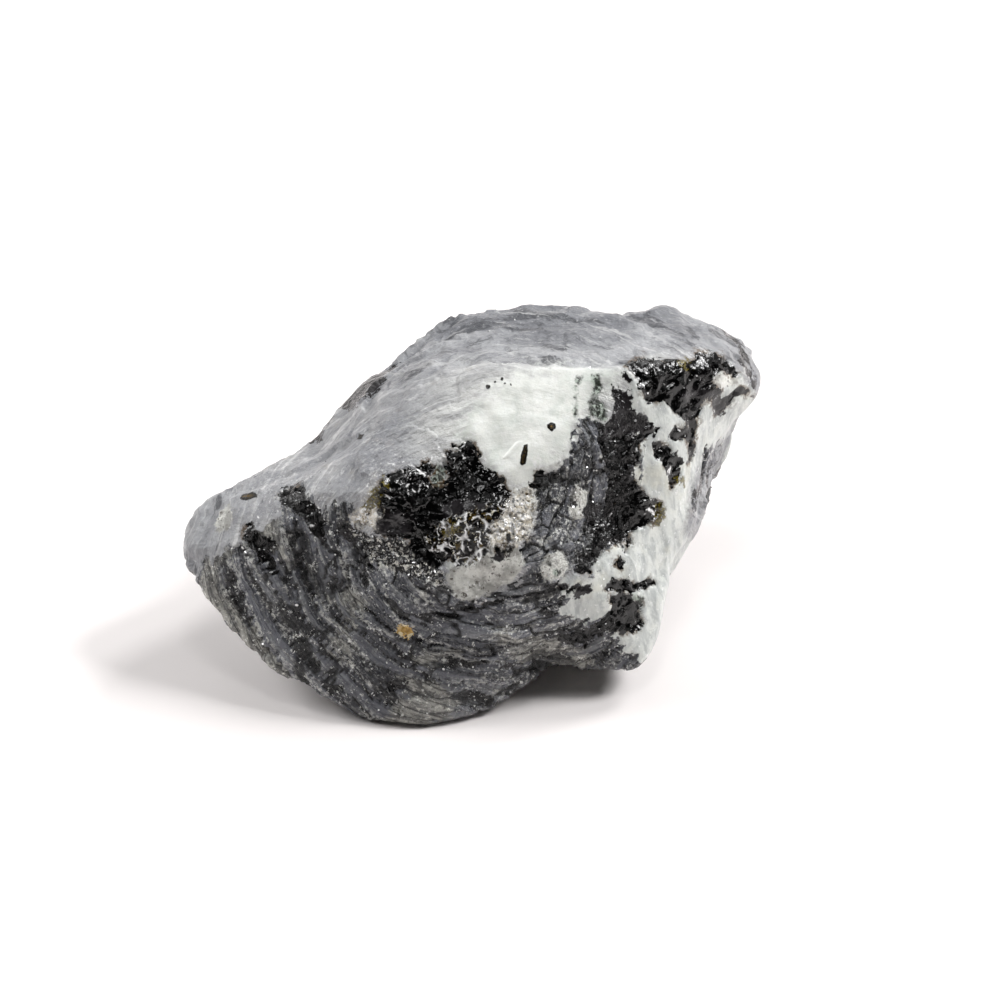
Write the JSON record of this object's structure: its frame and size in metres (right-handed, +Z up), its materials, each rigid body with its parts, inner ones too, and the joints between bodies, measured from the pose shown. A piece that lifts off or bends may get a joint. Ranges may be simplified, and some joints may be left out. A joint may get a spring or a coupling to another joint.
{
  "type": "raw labradorite stone",
  "caption": "Raw feldspar stone: a tapered, rough-broken block with a flat spot underneath, for display or set dressing.",
  "frame": {"origin": "on the surface that the stone rests on, under the middle of its bounding box", "axes": "+Z up; +X from the tapered tip to the blunt end; +Y from the dark front face to the back"},
  "size_m": [0.063, 0.0458, 0.0328],
  "materials": {
    "labradorite": "pale grey and white feldspar with black mineral patches and a dark layered rind, wet gloss"
  },
  "bodies": {
    "root": {"stone": "labradorite"}
  },
  "joints": []
}
